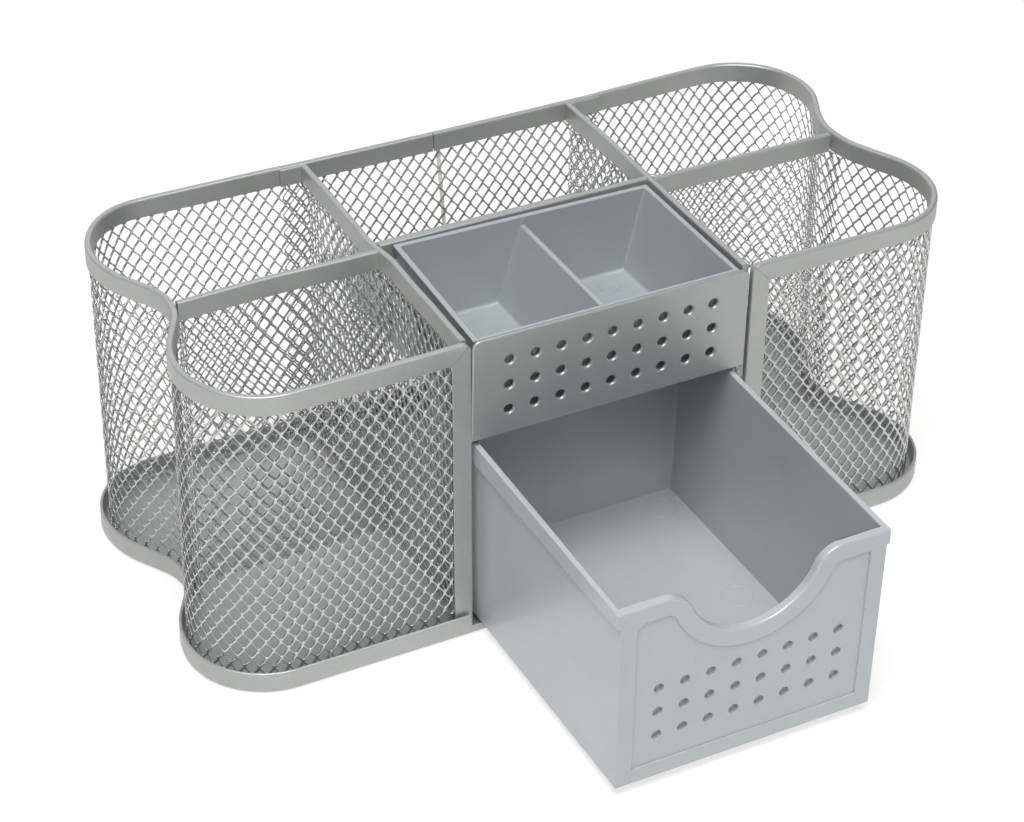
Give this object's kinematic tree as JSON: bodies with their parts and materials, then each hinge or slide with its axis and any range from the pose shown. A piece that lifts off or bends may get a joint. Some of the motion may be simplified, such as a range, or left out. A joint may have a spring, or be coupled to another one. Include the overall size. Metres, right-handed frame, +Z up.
{
  "type": "desk organizer",
  "caption": "Free-standing mesh desk organizer: open cups either side of a bay with a sliding drawer, a lift-out two-cell tray above it and an open rear slot.",
  "frame": {"origin": "underside of the base pan, midway between its left and right sides and between its front and back walls", "axes": "+X the user's right, -Y the front with the drawer, +Z up; stored with the drawer open as pictured"},
  "size_m": [0.2446, 0.1941, 0.1],
  "materials": {
    "mesh_paint": "satin silver powder coat over expanded steel mesh",
    "rim_paint": "smooth satin silver paint on folded steel strip",
    "pan_paint": "satin silver paint on pressed steel sheet",
    "drawer_plastic": "silver moulded plastic, low gloss",
    "tray_plastic": "silver moulded plastic, low gloss"
  },
  "bodies": {
    "organizer": {"base_pan": "pan_paint", "right_outer_mesh": "mesh_paint", "left_outer_mesh": "mesh_paint", "right_top_rim": "rim_paint", "left_top_rim": "rim_paint", "right_side_mesh": "mesh_paint", "left_side_mesh": "mesh_paint", "right_side_rim": "rim_paint", "left_side_rim": "rim_paint", "right_divider_mesh": "mesh_paint", "left_divider_mesh": "mesh_paint", "right_divider_rim": "rim_paint", "left_divider_rim": "rim_paint", "centre_divider_mesh": "mesh_paint", "centre_divider_rim": "rim_paint", "right_front_post": "rim_paint", "left_front_post": "rim_paint", "bay_shelf": "pan_paint", "front_plate": "rim_paint", "rear_seam_strip": "mesh_paint"},
    "drawer": {"drawer": "drawer_plastic"},
    "tray": {"accessory_tray": "tray_plastic"}
  },
  "joints": [
    {"name": "drawer_slide", "type": "slide", "parent": "organizer", "child": "drawer", "axis": [0, -1, 0], "range_m": [-0.0795, 0.012]},
    {"name": "tray_lift", "type": "slide", "parent": "organizer", "child": "tray", "axis": [0, 0, 1], "range_m": [0, 0.05]}
  ]
}
